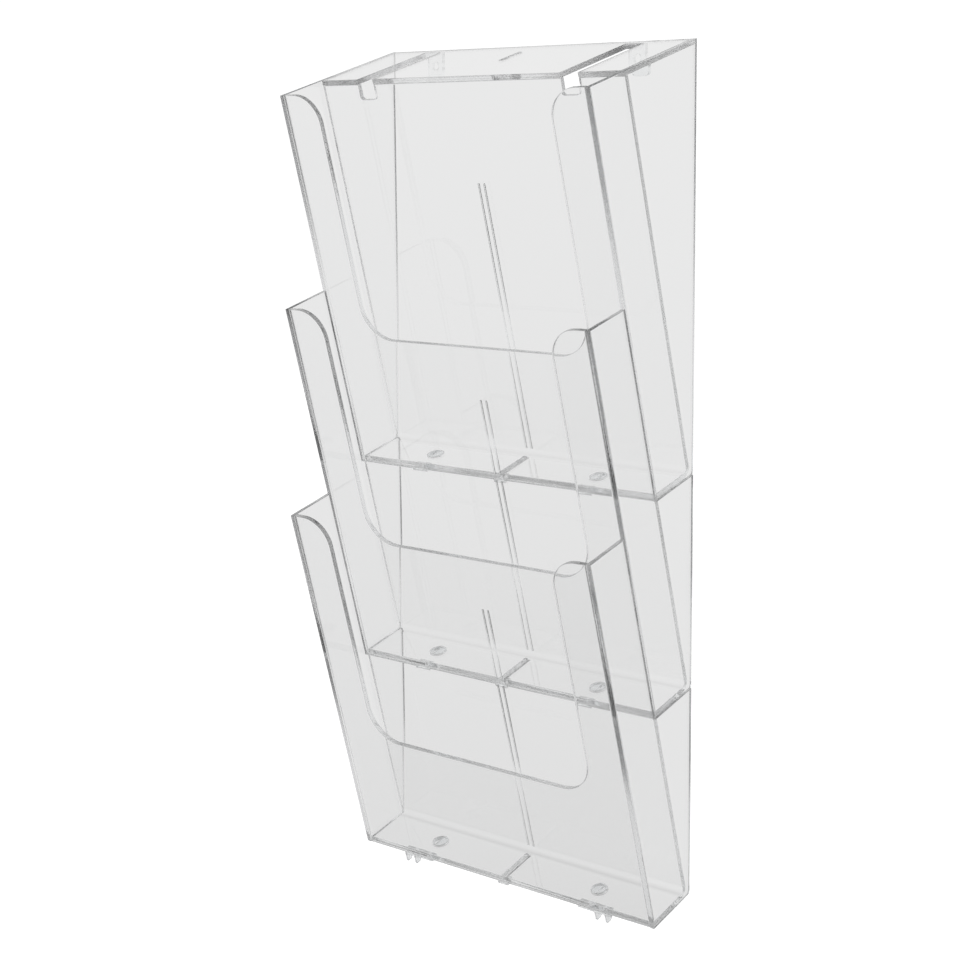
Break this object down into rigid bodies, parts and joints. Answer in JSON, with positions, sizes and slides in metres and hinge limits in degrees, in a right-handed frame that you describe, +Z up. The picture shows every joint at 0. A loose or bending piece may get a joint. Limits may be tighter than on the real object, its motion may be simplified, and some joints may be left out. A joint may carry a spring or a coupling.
{
  "type": "brochure rack",
  "caption": "Clear wall rack with leaning brochure pockets in tiers, U-scooped fronts, side webs to the wall and clips in the floors.",
  "frame": {"origin": "on the wall plane, midway between the two hanging screw holes under the top plate", "axes": "+Z up, the wall is the plane Y = 0 with the wall on the +Y side, pockets open upwards and towards -Y, +X to the right seen from the front"},
  "size_m": [0.232, 0.1014, 0.5231],
  "materials": {
    "pocket_sheet": "clear polished sheet",
    "side_sheet": "clear polished sheet",
    "moulded_clip": "clear moulded plastic"
  },
  "bodies": {
    "top_tier": {"top_back_floor": "pocket_sheet", "top_front_panel": "pocket_sheet", "top_left_side": "side_sheet", "top_right_side": "side_sheet", "top_back_rails": "pocket_sheet", "top_lip_rails": "pocket_sheet", "top_left_clip": "moulded_clip", "top_right_clip": "moulded_clip", "top_centre_tab": "moulded_clip", "top_plate": "pocket_sheet", "left_hanger_ear": "moulded_clip", "right_hanger_ear": "moulded_clip"},
    "middle_tier": {"middle_back_floor": "pocket_sheet", "middle_front_panel": "pocket_sheet", "middle_left_side": "side_sheet", "middle_right_side": "side_sheet", "middle_back_rails": "pocket_sheet", "middle_lip_rails": "pocket_sheet", "middle_left_clip": "moulded_clip", "middle_right_clip": "moulded_clip", "middle_centre_tab": "moulded_clip"},
    "bottom_tier": {"bottom_back_floor": "pocket_sheet", "bottom_front_panel": "pocket_sheet", "bottom_left_side": "side_sheet", "bottom_right_side": "side_sheet", "bottom_back_rails": "pocket_sheet", "bottom_left_clip": "moulded_clip", "bottom_right_clip": "moulded_clip", "bottom_centre_tab": "moulded_clip"}
  },
  "joints": [
    {"name": "middle_tier_drop", "type": "slide", "parent": "top_tier", "child": "middle_tier", "axis": [0, 0, -1], "range_m": [0, 0.04]},
    {"name": "bottom_tier_drop", "type": "slide", "parent": "middle_tier", "child": "bottom_tier", "axis": [0, 0, -1], "range_m": [0, 0.04]}
  ]
}
